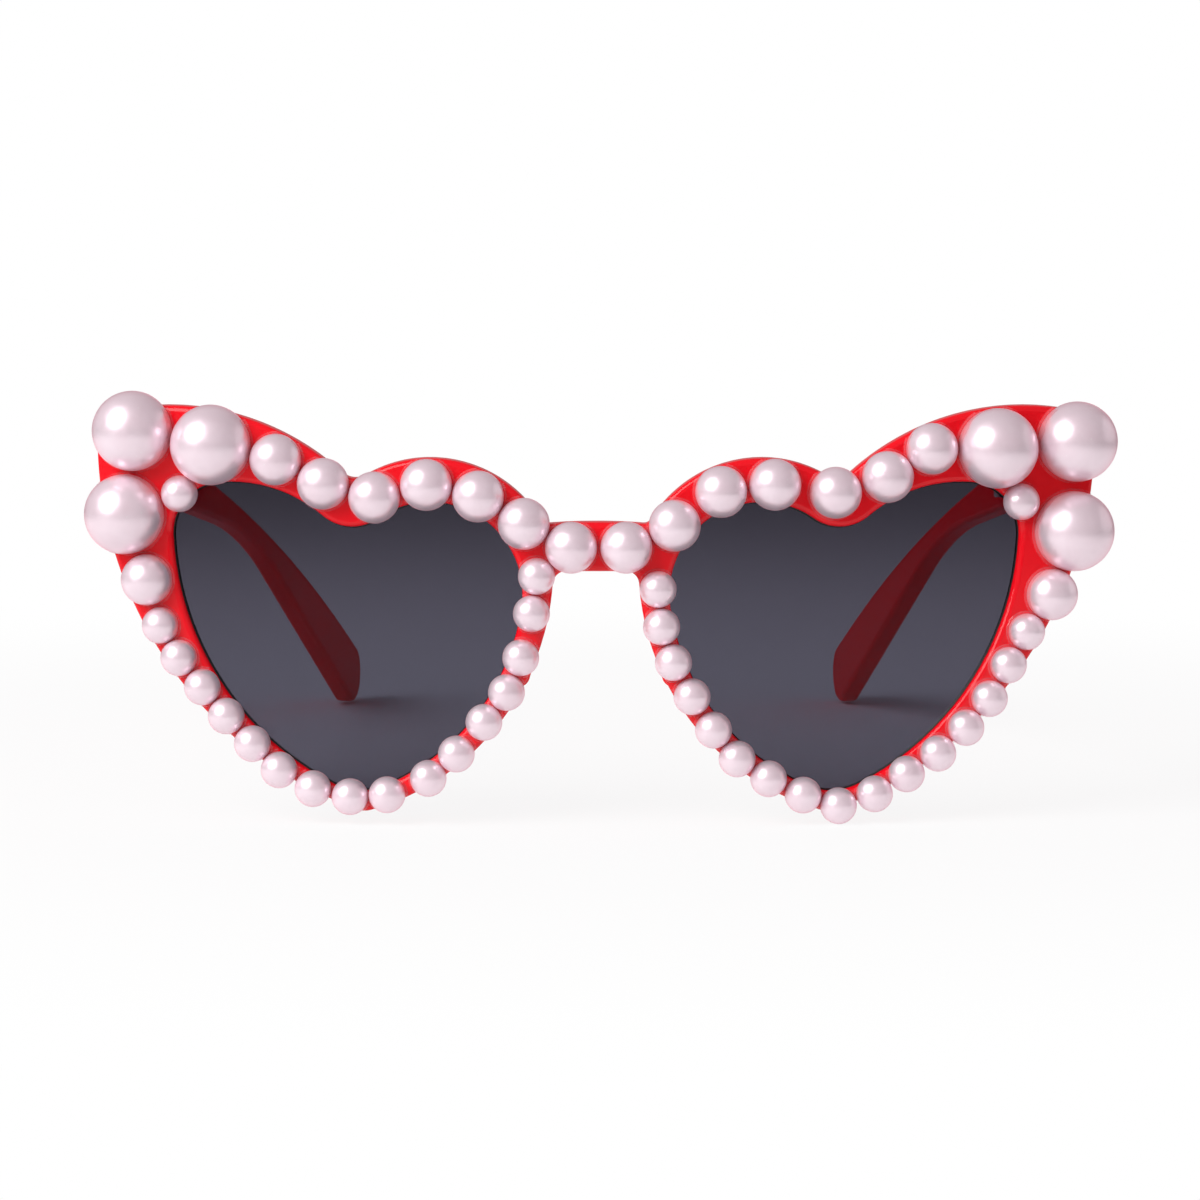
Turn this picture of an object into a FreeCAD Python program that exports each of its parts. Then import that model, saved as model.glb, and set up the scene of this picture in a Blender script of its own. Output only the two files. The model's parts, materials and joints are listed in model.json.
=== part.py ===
import FreeCAD, Part
import math
import os
from collections import namedtuple
from enum import IntEnum
from itertools import count

import Sketcher
from FreeCAD import Placement, Rotation, Vector

# Heart shaped sunglasses with a moulded red front, tinted lenses, folding temples on screw hinges
# and flat backed pearls glued along both rims.
#
# The front faces -Y, the temples run back along +Y and +Z is up. Left and right are the wearer's, so
# the left half lies at +X. Heights are measured from the table that the glasses stand on, and depths
# from the foremost line of the front. All lengths are in millimetres and all angles in degrees.

SIZES = {
    # Bridge over the nose.
    "bridge_width": 12.8,
    "bridge_height": 7.3,
    "bridge_rise": 3.4,
    "bridge_arch_radius": 90.0,
    "bridge_fillet_radius": 1.2,
    "saddle_radius": 2.0,
    # Lens opening, a heart of four rounds and the arcs that link them.
    "opening_lobe_z": 34.2,
    "opening_lobe_radius": 13.6,
    "cleft_offset": 11.8,
    "opening_cleft_radius": 6.7,
    "corner_offset": 31.0,
    "opening_corner_z": 42.6,
    "opening_corner_radius": 7.8,
    "point_offset": 10.7,
    "opening_bottom_z": 13.5,
    "opening_bottom_radius": 9.1,
    "opening_brow_radius": 21.1,
    "opening_cheek_radius": 43.0,
    "opening_nose_radius": 35.0,
    # Rim around the opening, wide at the outer corner and narrow at the point.
    "nose_rim": 4.5,
    "lobe_rim": 5.6,
    "lobe_lift": 0.9,
    "cleft_lean": 0.5,
    "outer_cleft_radius": 3.0,
    "corner_flare_x": 13.5,
    "corner_flare_z": 12.8,
    "outer_corner_radius": 5.8,
    "point_rim": 3.0,
    "point_lean": 0.7,
    "outer_bottom_radius": 3.0,
    "outer_brow_radius": 38.3,
    "outer_cheek_radius": 57.4,
    "nose_arc_gain": 3.4,
    # Wrap and wall of the front.
    "front_radius": 260.0,
    "front_thickness": 4.0,
    "front_edge_radius": 0.8,
    "back_edge_radius": 0.5,
    # Lenses, snapped into a groove in the rim.
    "lens_setback": 1.3,
    "lens_thickness": 1.8,
    "lens_seat": 0.65,
    "lens_clearance": 0.05,
    # Moulded nose pads behind the rims.
    "nose_pad_length": 14.0,
    "nose_pad_width": 3.6,
    "nose_pad_depth": 4.6,
    "nose_pad_inset": 0.7,
    "nose_pad_drop": 7.4,
    "nose_pad_edge_radius": 1.0,
    "nose_pad_lean_angle": 16.0,
    "nose_pad_taper_angle": 6.0,
    # Endpieces, which carry the hinges behind the outer corners.
    "endpiece_length": 6.6,
    "endpiece_inset": 0.3,
    "hinge_rise": 7.4,
    # Temples.
    "temple_thickness": 3.4,
    "temple_butt_height": 7.4,
    "temple_edge_radius": 0.9,
    "temple_toe_angle": 9.2,
    "temple_crown_radius": 720.0,
    "temple_reach": 126.2,
    "temple_tip_radius": 5.0,
    "temple_waist_reach": 51.0,
    "temple_waist_rise": 7.8,
    "temple_waist_radius": 133.0,
    "temple_waist_lean_angle": 1.35,
    # Hinges.
    "butt_gap": 0.2,
    "knuckle_diameter": 3.0,
    "knuckle_height": 1.8,
    "knuckle_gap": 0.1,
    "knuckle_standoff": 0.3,
    "knuckle_clearance": 0.15,
    "leaf_thickness": 0.9,
    "leaf_margin": 1.0,
    "leaf_corner_radius": 0.8,
    "screw_diameter": 1.4,
    "screw_clearance": 0.04,
    "screw_head_diameter": 2.4,
    "screw_head_height": 0.6,
    "screw_slot_width": 0.4,
    "screw_slot_depth": 0.3,
    # Pearls.
    "large_pearl_diameter": 12.0,
    "medium_pearl_diameter": 7.7,
    "small_pearl_diameter": 5.5,
    "pearl_back_angle": 11.5,
    "bridge_pearl_shift": 0.4,
    # Run-out of every cut past the walls that it goes through.
    "overrun": 5.0,
}

# Rounds of a heart, clockwise as seen from the front, and the link that follows each of them.
HEART_ROUNDS = ("lobe", "cleft", "corner", "bottom")
HEART_LINKS = ("touch", "brow", "cheek", "nose")
INWARD_BENDS = ("cleft", "fillet", "saddle", "waist")

# Axes along which the sheet places each round. The cleft rests against the lobe, so it has only one.
HEART_PLACES = {"lobe": "xz", "cleft": "x", "corner": "xz", "bottom": "xz"}

# Knuckles of a hinge barrel from the bottom up, by the leaf that each belongs to.
BARREL_LEAVES = ("front", "temple", "front")

# How deep in the front's thickness a nose pad takes root, and how much of its crown the rounding may take.
PAD_ROOT_SHARE = 0.75
PAD_ROUND_LIMIT_SHARE = 0.9

# Pearl places on each side. Across shares run from the lens opening, 0, to the rim's edge, 1, and gap
# shares widen the pitch of two touching pearls. A run that is longer than its list repeats it.
PEARL_SHARES = {
    "left": {
        "corner_place_share": 0.59,
        "corner_across_share": 0.81,
        "accent_place_share": 0.65,
        "cheek_across_shares": (0.79, 0.75),
        "cheek_gap_shares": (0.12, 0.02),
        "small_across_shares": (0.58, 0.6, 0.75, 0.86, 0.92, 0.87, 0.99, 0.78,
                                0.49, 0.5, 0.56, 0.39, 0.3, 0.33, 0.34, 0.31),
        "small_gap_shares": (0.02, 0.04, 0.05, 0.02, 0.04, 0.03, 0.03, 0.04,
                             0.02, 0.05, 0.02, 0.02, 0.08, 0.06, 0.02, 0.02),
        "brow_across_shares": (0.45, 0.59, 0.47, 0.71, 0.43, 0.44, 0.47),
        "brow_gap_shares": (0.04, 0.02, 0.02, 0.06, 0.19, 0.05, 0.1),
    },
    "right": {
        "corner_place_share": 0.24,
        "corner_across_share": 0.77,
        "accent_place_share": 0.5,
        "cheek_across_shares": (0.64, 0.52),
        "cheek_gap_shares": (0.05, 0.05),
        "small_across_shares": (0.62, 0.6, 0.51, 0.52, 0.61, 0.87, 0.83, 0.31,
                                0.44, 0.59, 0.45, 0.36, 0.41, 0.34, 0.3, 0.41),
        "small_gap_shares": (0.08, 0.02, 0.03, 0.02, 0.04, 0.02, 0.06, 0.04,
                             0.02, 0.22, 0.02, 0.15, 0.02, 0.02, 0.23, 0.02),
        "brow_across_shares": (0.5, 0.51, 0.58, 0.46, 0.41, 0.41, 0.62),
        "brow_gap_shares": (0.03, 0.02, 0.04, 0.03, 0.04, 0.02, 0.02),
    },
}
PEARL_TOUCH_SHARE = 0.01
BRIDGE_GAP_SHARE = 0.06
WALK_STEP_SHARE = 0.02
WALK_END_SHARE = 1e-12
ACCENT_GAP_SHARE = 0.03

Round = namedtuple("Round", "name centre radius")
Stretch = namedtuple("Stretch", "name start end centre radius")
Drawn = namedtuple("Drawn", "index first last")
Pearl = namedtuple("Pearl", "kind x z radius")


def derived_sizes():
    """Return the sheet's worked out cells, as formulas on the driving sizes."""
    cells = {
        # Heart of the lens opening.
        "opening_lobe_x": "bridge_width / 2 + nose_rim + opening_lobe_radius",
        "opening_cleft_x": "opening_lobe_x + cleft_offset",
        "opening_corner_x": "opening_lobe_x + corner_offset",
        "opening_bottom_x": "opening_lobe_x + point_offset",
        # Outer edge of the rim.
        "outer_lobe_x": "opening_lobe_x",
        "outer_lobe_z": "opening_lobe_z + lobe_lift",
        "outer_lobe_radius": "opening_lobe_radius + lobe_rim",
        "outer_cleft_x": "opening_cleft_x - cleft_lean",
        "outer_corner_x": "opening_corner_x + corner_flare_x",
        "outer_corner_z": "opening_corner_z + corner_flare_z",
        "outer_bottom_x": "opening_bottom_x - point_lean",
        "outer_bottom_z": "opening_bottom_z - opening_bottom_radius - point_rim + outer_bottom_radius",
        "outer_nose_radius": "opening_nose_radius + nose_arc_gain",
        "bridge_bottom_z": "opening_lobe_z + bridge_rise",
        "bridge_top_z": "bridge_bottom_z + bridge_height",
        "outer_bridge_z": "bridge_top_z - bridge_arch_radius",
        "outer_bridge_radius": "bridge_arch_radius",
        "outer_fillet_radius": "bridge_fillet_radius",
        "outer_saddle_x": "bridge_width / 2 - saddle_radius",
        "outer_saddle_z": "bridge_bottom_z - saddle_radius",
        "outer_saddle_radius": "saddle_radius",
        # Box that the front is cut from.
        "front_half_width": "outer_corner_x + outer_corner_radius",
        "front_height": "outer_corner_z + outer_corner_radius",
        "front_depth": "front_radius - sqrt((front_radius - front_thickness)^2 - front_half_width^2)",
        "lens_radius": "front_radius - lens_setback",
        "groove_seat": "lens_seat + lens_clearance",
        "groove_radius": "lens_radius + lens_clearance",
        "groove_width": "lens_thickness + 2 * lens_clearance",
        # Nose pad.
        "pad_half_run": "(nose_pad_length - nose_pad_width) / 2",
        "pad_middle_x": "bridge_width / 2 + nose_rim - nose_pad_inset",
        "pad_middle_z": "opening_lobe_z - nose_pad_drop",
        "pad_top_x": "pad_middle_x - pad_half_run * sin(nose_pad_lean_angle)",
        "pad_top_z": "pad_middle_z + pad_half_run * cos(nose_pad_lean_angle)",
        "pad_top_radius": "nose_pad_width / 2",
        "pad_bottom_x": "pad_middle_x + pad_half_run * sin(nose_pad_lean_angle)",
        "pad_bottom_z": "pad_middle_z - pad_half_run * cos(nose_pad_lean_angle)",
        "pad_bottom_radius": "nose_pad_width / 2",
        "pad_root_y": f"front_thickness * {PAD_ROOT_SHARE}",
        "pad_run": "front_thickness - pad_root_y + nose_pad_depth",
        "pad_crown_half_width": "nose_pad_width / 2 - pad_run * tan(nose_pad_taper_angle)",
        "pad_round_radius": f"min(nose_pad_edge_radius; pad_crown_half_width * {PAD_ROUND_LIMIT_SHARE})",
        # Endpiece and hinge.
        "hinge_face_x": "opening_corner_x + opening_corner_radius + endpiece_inset",
        "hinge_z": "opening_corner_z + hinge_rise",
        "rim_back_y": "front_radius - sqrt((front_radius - front_thickness)^2 - hinge_face_x^2)",
        "endpiece_root_y": "rim_back_y - front_thickness / 2",
        "endpiece_end_y": "rim_back_y + endpiece_length",
        "hinge_axis_x": "hinge_face_x - knuckle_standoff - knuckle_diameter / 2",
        "hinge_axis_y": "endpiece_end_y + butt_gap / 2",
        "butt_y": "endpiece_end_y + butt_gap",
        "butt_top_z": "hinge_z + temple_butt_height / 2",
        "butt_bottom_z": "hinge_z - temple_butt_height / 2",
        "barrel_pitch": "knuckle_height + knuckle_gap",
        "barrel_height": f"{len(BARREL_LEAVES)} * barrel_pitch - knuckle_gap",
        "barrel_bottom_z": "hinge_z - barrel_height / 2",
        "leaf_length": "endpiece_length - leaf_margin",
        # Side view of a temple.
        "temple_front_y": "butt_y",
        "temple_front_z": "butt_top_z",
        "temple_tip_y": "butt_y + temple_reach",
        "temple_tip_z": "temple_tip_radius",
        "underside_angle": "atan(butt_bottom_z / temple_reach) / 1 deg",
        "waist_angle": "underside_angle - temple_waist_lean_angle",
        "waist_height": "butt_bottom_z - temple_waist_reach * tan(underside_angle) + temple_waist_rise",
        "temple_waist_y": "butt_y + temple_waist_reach - temple_waist_radius * sin(waist_angle)",
        "temple_waist_z": "waist_height - temple_waist_radius * cos(waist_angle)",
        "temple_front_radius": "0",
        "temple_heel_y": "butt_y",
        "temple_heel_z": "butt_bottom_z",
        "temple_heel_radius": "0",
        # Plan of a temple.
        "temple_back_y": "temple_tip_y + temple_tip_radius + overrun",
        "temple_back_inner_x": "hinge_face_x - (temple_back_y - butt_y) * tan(temple_toe_angle)",
        "temple_back_outer_x": "temple_back_inner_x + temple_thickness",
        "temple_outer_x": "hinge_face_x + temple_thickness",
    }
    for outline in ("opening", "outer"):
        cells[f"{outline}_cleft_z"] = (
            f"{outline}_lobe_z + sqrt(({outline}_lobe_radius + {outline}_cleft_radius)^2"
            f" - ({outline}_cleft_x - {outline}_lobe_x)^2)"
        )
    for outline, seat in (("lens", "lens_seat"), ("groove", "groove_seat")):
        for name in HEART_ROUNDS:
            grow = "-" if name in INWARD_BENDS else "+"
            cells[f"{outline}_{name}_x"] = f"opening_{name}_x"
            cells[f"{outline}_{name}_z"] = f"opening_{name}_z"
            cells[f"{outline}_{name}_radius"] = f"opening_{name}_radius {grow} {seat}"
        for name in HEART_LINKS[1:]:
            cells[f"{outline}_{name}_radius"] = f"opening_{name}_radius + {seat}"
    for end in ("top", "bottom"):
        for side in ("inner", "outer"):
            across = "hinge_face_x"
            if side == "inner":
                across += " + temple_edge_radius"
            else:
                across += " + temple_thickness - temple_edge_radius"
            inward = "-" if end == "top" else "+"
            cells[f"endpiece_{end}_{side}_x"] = across
            cells[f"endpiece_{end}_{side}_z"] = f"butt_{end}_z {inward} temple_edge_radius"
            cells[f"endpiece_{end}_{side}_radius"] = "temple_edge_radius"
    return cells


def fill_sheet(doc):
    """Write the driving sizes and the worked out cells to the sheet, one row each."""
    sheet = doc.addObject("Spreadsheet::Sheet", "Sizes")
    rows = [(alias, str(value)) for alias, value in SIZES.items()]
    rows += [(alias, "=" + formula) for alias, formula in derived_sizes().items()]
    for row, (alias, text) in enumerate(rows, start=1):
        sheet.set(f"A{row}", alias)
        sheet.setAlias(f"B{row}", alias)
    for row, (alias, text) in enumerate(rows, start=1):
        sheet.set(f"B{row}", text)
    doc.recompute()
    return sheet


doc = FreeCAD.newDocument("heart_sunglasses")
sheet = fill_sheet(doc)


def size(alias):
    """Return a cell of the sheet as a number."""
    return float(sheet.get(alias))


# Outlines of tangent arcs


def right_of(direction):
    """Return a direction turned a quarter turn to the right."""
    return Vector(direction.y, -direction.x, 0)


def touch_point(first, second):
    """Return the point where two tangent rounds meet."""
    normal = (second.centre - first.centre) / (second.radius - first.radius)
    return first.centre - normal * first.radius


def line_link(first, second):
    """Return the straight stretch that touches two rounds."""
    span = second.centre - first.centre
    along = span / span.Length
    lean = (second.radius - first.radius) / span.Length
    normal = along * lean + right_of(along) * math.sqrt(1 - lean * lean)
    start = first.centre - normal * first.radius
    end = second.centre - normal * second.radius
    return Stretch("line", start, end, None, None)


def arc_link(first, second, name, radius):
    """Return the arc of a signed radius that touches two rounds."""
    span = second.centre - first.centre
    along = span / span.Length
    near = radius - first.radius
    far = radius - second.radius
    run = (span.Length ** 2 + near ** 2 - far ** 2) / (2 * span.Length)
    rise = math.sqrt(near ** 2 - run ** 2)
    centre = first.centre + along * run + right_of(along) * math.copysign(rise, radius)
    arc = Round(name, centre, radius)
    return Stretch(name, touch_point(first, arc), touch_point(arc, second), centre, radius)


def join(first, second, link):
    """Return the stretch between two rounds, with equal ends where they touch each other."""
    name, radius = link
    if name == "touch":
        point = touch_point(first, second)
        return Stretch("touch", point, point, None, None)
    if name == "line":
        return line_link(first, second)
    return arc_link(first, second, name, radius)


def chain(rounds, links, start=None, end=None):
    """Return the stretches of a run of rounds and links, closed unless it has a start and an end."""
    total = len(rounds)
    joins = [join(rounds[i], rounds[(i + 1) % total], links[i]) for i in range(len(links))]
    stretches = []
    for i, item in enumerate(rounds):
        arrive = joins[i - 1].end if i > 0 or start is None else start
        leave = joins[i].start if i < len(joins) else end
        if item.radius:
            stretches.append(Stretch(item.name, arrive, leave, item.centre, item.radius))
        if i < len(joins) and joins[i].name != "touch":
            stretches.append(joins[i])
    return stretches


def bend(name, radius):
    """Return the signed radius of a named round or link, below zero where it bends inward."""
    return -radius if name in INWARD_BENDS else radius


def sheet_round(outline, name, across="x"):
    """Return a round of an outline from its cells."""
    centre = Vector(size(f"{outline}_{name}_{across}"), size(f"{outline}_{name}_z"), 0)
    return Round(name, centre, bend(name, size(f"{outline}_{name}_radius")))


def sheet_link(outline, name):
    """Return a link of an outline with its signed radius from its cell, or none for a straight one."""
    if name in ("touch", "line"):
        return name, None
    return name, bend(name, size(f"{outline}_{name}_radius"))


def sheet_chain(outline, names, links, across="x"):
    """Return the closed chain of an outline's named rounds and links."""
    rounds = [sheet_round(outline, name, across) for name in names]
    return chain(rounds, [sheet_link(outline, link) for link in links])


def arc_angles(stretch):
    """Return the start and end angles of an arc, the end below the start on a clockwise one."""
    first = stretch.start - stretch.centre
    last = stretch.end - stretch.centre
    begin = math.atan2(first.y, first.x)
    turn = math.atan2(last.y, last.x) - begin
    full = 2 * math.pi
    turn = -((-turn) % full) if stretch.radius > 0 else turn % full
    return begin, begin + turn


# Sketches

SKETCH_AXES = {
    "XZ_Plane": {"x": "DistanceX", "z": "DistanceY"},
    "YZ_Plane": {"y": "DistanceX", "z": "DistanceY"},
    "XY_Plane": {"x": "DistanceX", "y": "DistanceY"},
}


class Spot(IntEnum):
    """Points of a sketched line or arc, as sketches number them."""
    START = 1
    END = 2
    CENTRE = 3


def new_body(name):
    """Add an empty body."""
    return doc.addObject("PartDesign::Body", name)


def new_sketch(body, name, plane):
    """Add a sketch on one of a body's own origin planes."""
    support = next(item for item in body.Origin.OriginFeatures if item.Role == plane)
    sketch = body.newObject("Sketcher::SketchObject", name)
    sketch.AttachmentSupport = [(support, "")]
    sketch.MapMode = "FlatFace"
    return sketch


def tie(sketch, constraint, alias):
    """Add a dimension to a sketch and bind it to a cell."""
    number = sketch.addConstraint(constraint)
    sketch.setExpression(f"Constraints[{number}]", f"Sizes.{alias}")


def tie_point(sketch, plane, index, position, aliases):
    """Place a point of a sketch by cells, one for each axis in their last letters."""
    for alias in aliases:
        kind = SKETCH_AXES[plane][alias[-1]]
        tie(sketch, Sketcher.Constraint(kind, index, int(position), size(alias)), alias)


def draw_stretch(sketch, stretch):
    """Draw one stretch and return its index with the numbers of its first and last points."""
    if stretch.centre is None:
        index = sketch.addGeometry(Part.LineSegment(stretch.start, stretch.end))
        return Drawn(index, Spot.START, Spot.END)
    begin, finish = arc_angles(stretch)
    circle = Part.Circle(stretch.centre, Vector(0, 0, 1), abs(stretch.radius))
    if stretch.radius > 0:
        return Drawn(sketch.addGeometry(Part.ArcOfCircle(circle, finish, begin)), Spot.END, Spot.START)
    return Drawn(sketch.addGeometry(Part.ArcOfCircle(circle, begin, finish)), Spot.START, Spot.END)


def draw_chain(sketch, plane, outline, stretches, places):
    """Draw stretches, tie the radius of each arc and the places of the named rounds to the sheet."""
    drawn = [draw_stretch(sketch, stretch) for stretch in stretches]
    for stretch, line in zip(stretches, drawn):
        if stretch.centre is None:
            continue
        alias = f"{outline}_{stretch.name}"
        tie(sketch, Sketcher.Constraint("Radius", line.index, size(alias + "_radius")), alias + "_radius")
        aliases = [f"{alias}_{axis}" for axis in places.get(stretch.name, "")]
        tie_point(sketch, plane, line.index, Spot.CENTRE, aliases)
    return drawn


def join_ends(sketch, before, after, kind="Tangent"):
    """Join the last point of one drawn stretch to the first point of the next."""
    ends = (before.index, int(before.last), after.index, int(after.first))
    sketch.addConstraint(Sketcher.Constraint(kind, *ends))


def closed_sketch(body, plane, outline, stretches, places):
    """Add a sketch of a closed chain whose stretches all run smoothly into each other."""
    sketch = new_sketch(body, outline + "_outline", plane)
    drawn = draw_chain(sketch, plane, outline, stretches, places)
    for i, after in enumerate(drawn):
        join_ends(sketch, drawn[i - 1], after)
    return sketch


def polygon_sketch(body, name, plane, corners):
    """Add a sketch of a polygon whose corners are pairs of cells."""
    sketch = new_sketch(body, name, plane)
    points = [Vector(size(across), size(up), 0) for across, up in corners]
    for start, end in zip(points, points[1:] + points[:1]):
        sketch.addGeometry(Part.LineSegment(start, end))
    for i, corner in enumerate(corners):
        before = (i - 1) % len(corners)
        sketch.addConstraint(Sketcher.Constraint("Coincident", before, int(Spot.END), i, int(Spot.START)))
        tie_point(sketch, plane, i, Spot.START, corner)
    return sketch


# Features


def pad(body, sketch, length, reverse=False):
    """Pad a sketch by a formula on the sheet."""
    feature = body.newObject("PartDesign::Pad", sketch.Name + "_pad")
    feature.Profile = sketch
    feature.setExpression("Length", length)
    feature.Reversed = reverse
    sketch.Visibility = False
    return feature


def set_back(sketch, depth):
    """Move a front view sketch back from the foremost line of the front."""
    sketch.setExpression("AttachmentOffset.Base.z", "-(" + depth + ")")


def boolean(kind, label, base, tool):
    """Add a boolean of two shapes."""
    item = doc.addObject("Part::" + kind, label)
    item.Base = base
    item.Tool = tool
    item.Refine = True
    return item


def fuse(label, shapes):
    """Add the union of several shapes."""
    item = doc.addObject("Part::MultiFuse", label)
    item.Shapes = shapes
    item.Refine = True
    return item


def upright_cylinder(label, radius, height, x, y, z):
    """Add a cylinder along Z from formulas on the sheet."""
    item = doc.addObject("Part::Cylinder", label)
    item.setExpression("Radius", radius)
    item.setExpression("Height", height)
    item.setExpression("Placement.Base.x", x)
    item.setExpression("Placement.Base.y", y)
    item.setExpression("Placement.Base.z", z)
    return item


def curved_shell(label, radius, thickness):
    """Add a wall that follows the wrap of the front, taller than the front at both ends."""
    tall = "Sizes.front_height + 2 * Sizes.overrun"
    place = ("0", "Sizes.front_radius", "-Sizes.overrun")
    whole = upright_cylinder(label + "_face", radius, tall, *place)
    core = upright_cylinder(label + "_core", f"{radius} - {thickness}", tall, *place)
    return boolean("Cut", label, whole, core)


def curved_plate(label, body, radius, thickness):
    """Add the part of a padded outline that lies within a curved wall."""
    shell = curved_shell(label + "_shell", radius, thickness)
    return boolean("Common", label, body, shell)


def fillet(label, base, radius_of):
    """Round the edges of a shape for which radius_of gives a radius."""
    doc.recompute()
    item = doc.addObject("Part::Fillet", label)
    item.Base = base
    radii = [(number, radius_of(edge)) for number, edge in enumerate(base.Shape.Edges, start=1)]
    item.Edges = [(number, radius, radius) for number, radius in radii if radius]
    return item


def mirror(label, source):
    """Add the other side's copy of a shape."""
    item = doc.addObject("Part::Mirroring", label)
    item.Source = source
    item.Normal = Vector(1, 0, 0)
    return item


# Front


def heart_stretches(outline):
    """Return the closed heart of the lens opening, the lens or its groove."""
    return sheet_chain(outline, HEART_ROUNDS, HEART_LINKS)


def heart_plate(label, outline, radius, thickness):
    """Add a curved plate with the outline of a heart."""
    body = new_body(label + "_blank")
    sketch = closed_sketch(body, "XZ_Plane", outline, heart_stretches(outline), HEART_PLACES)
    pad(body, sketch, "Sizes.front_depth + Sizes.overrun", reverse=True)
    return curved_plate(label, body, radius, thickness)


def rim_sketch(body):
    """Add the outer edge of the left half of the front, closed along the middle plane."""
    bridge = Round("bridge", Vector(0, size("outer_bridge_z"), 0), size("outer_bridge_radius"))
    rounds = [bridge] + [sheet_round("outer", name) for name in HEART_ROUNDS + ("saddle",)]
    links = [sheet_link("outer", link) for link in ("fillet",) + HEART_LINKS]
    crest = Vector(0, size("bridge_top_z"), 0)
    foot = Vector(0, size("bridge_bottom_z"), 0)
    saddle_top = Vector(size("outer_saddle_x"), size("bridge_bottom_z"), 0)
    stretches = chain(rounds, links, start=crest, end=saddle_top)
    stretches.append(Stretch("line", saddle_top, foot, None, None))
    stretches.append(Stretch("line", foot, crest, None, None))
    sketch = new_sketch(body, "rim_outline", "XZ_Plane")
    places = dict(HEART_PLACES, bridge="z", saddle="xz")
    drawn = draw_chain(sketch, "XZ_Plane", "outer", stretches, places)
    for before, after in zip(drawn[:-2], drawn[1:-1]):
        join_ends(sketch, before, after)
    join_ends(sketch, drawn[-2], drawn[-1], "Coincident")
    join_ends(sketch, drawn[-1], drawn[0], "Coincident")
    arch = drawn[0]
    underside = drawn[-2]
    sketch.addConstraint(Sketcher.Constraint("Horizontal", underside.index))
    for line, spot in ((arch, Spot.CENTRE), (arch, arch.first), (underside, underside.last)):
        sketch.addConstraint(Sketcher.Constraint("DistanceX", line.index, int(spot), 0))
    return sketch


def rim():
    """Add the front's rim around both lens openings, with softened edges."""
    body = new_body("rim_blank")
    sketch = rim_sketch(body)
    pad(body, sketch, "Sizes.front_depth + Sizes.overrun", reverse=True)
    hole = closed_sketch(body, "XZ_Plane", "opening", heart_stretches("opening"), HEART_PLACES)
    pocket = body.newObject("PartDesign::Pocket", "opening_pocket")
    pocket.Profile = hole
    pocket.setExpression("Length", "Sizes.front_depth + 2 * Sizes.overrun")
    hole.Visibility = False
    half = curved_plate("rim_half", body, "Sizes.front_radius", "Sizes.front_thickness")
    whole = fuse("rim_whole", [half, mirror("rim_other_half", half)])
    doc.recompute()
    back_radius = size("front_radius") - size("front_thickness")
    softening = ((size("front_radius"), size("front_edge_radius")), (back_radius, size("back_edge_radius")))
    radii = {}
    for face in whole.Shape.Faces:
        for wrap, radius in softening:
            if isinstance(face.Surface, Part.Cylinder) and math.isclose(face.Surface.Radius, wrap):
                radii.update((edge.hashCode(), radius) for edge in face.Edges)
    return fillet("rim", whole, lambda edge: radii.get(edge.hashCode()))


def nose_pad():
    """Add the pad that is moulded on the back of the left rim, narrower towards the nose."""
    body = new_body("nose_pad")
    names = ("top", "bottom")
    stretches = sheet_chain("pad", names, ["line"] * len(names))
    sketch = closed_sketch(body, "XZ_Plane", "pad", stretches, {name: "xz" for name in names})
    set_back(sketch, "Sizes.pad_root_y")
    block = pad(body, sketch, "Sizes.pad_run", reverse=True)
    block.setExpression("TaperAngle", "-Sizes.nose_pad_taper_angle")
    doc.recompute()
    crown = max(enumerate(block.Shape.Faces, start=1), key=lambda item: item[1].CenterOfMass.y)
    rounding = body.newObject("PartDesign::Fillet", "nose_pad_rounding")
    rounding.Base = (block, [f"Face{crown[0]}"])
    rounding.setExpression("Radius", "Sizes.pad_round_radius")
    return body


def endpiece():
    """Add the block behind the left outer corner, of the same section as the temple."""
    body = new_body("endpiece")
    names = ("top_inner", "top_outer", "bottom_outer", "bottom_inner")
    stretches = sheet_chain("endpiece", names, ["line"] * len(names))
    sketch = closed_sketch(body, "XZ_Plane", "endpiece", stretches, {name: "xz" for name in names})
    set_back(sketch, "Sizes.endpiece_root_y")
    pad(body, sketch, "Sizes.endpiece_end_y - Sizes.endpiece_root_y", reverse=True)
    return body


def front_frame():
    """Add the moulded front: rim, nose pads and endpieces, grooved for the lenses."""
    halves = [nose_pad(), endpiece()]
    others = [mirror("other_" + item.Name, item) for item in halves]
    solid = fuse("front_solid", [rim()] + halves + others)
    groove = heart_plate("lens_groove", "groove", "Sizes.groove_radius", "Sizes.groove_width")
    grooves = fuse("lens_grooves", [groove, mirror("other_groove", groove)])
    return boolean("Cut", "front_frame", solid, grooves)


# Temples and hinges


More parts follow.
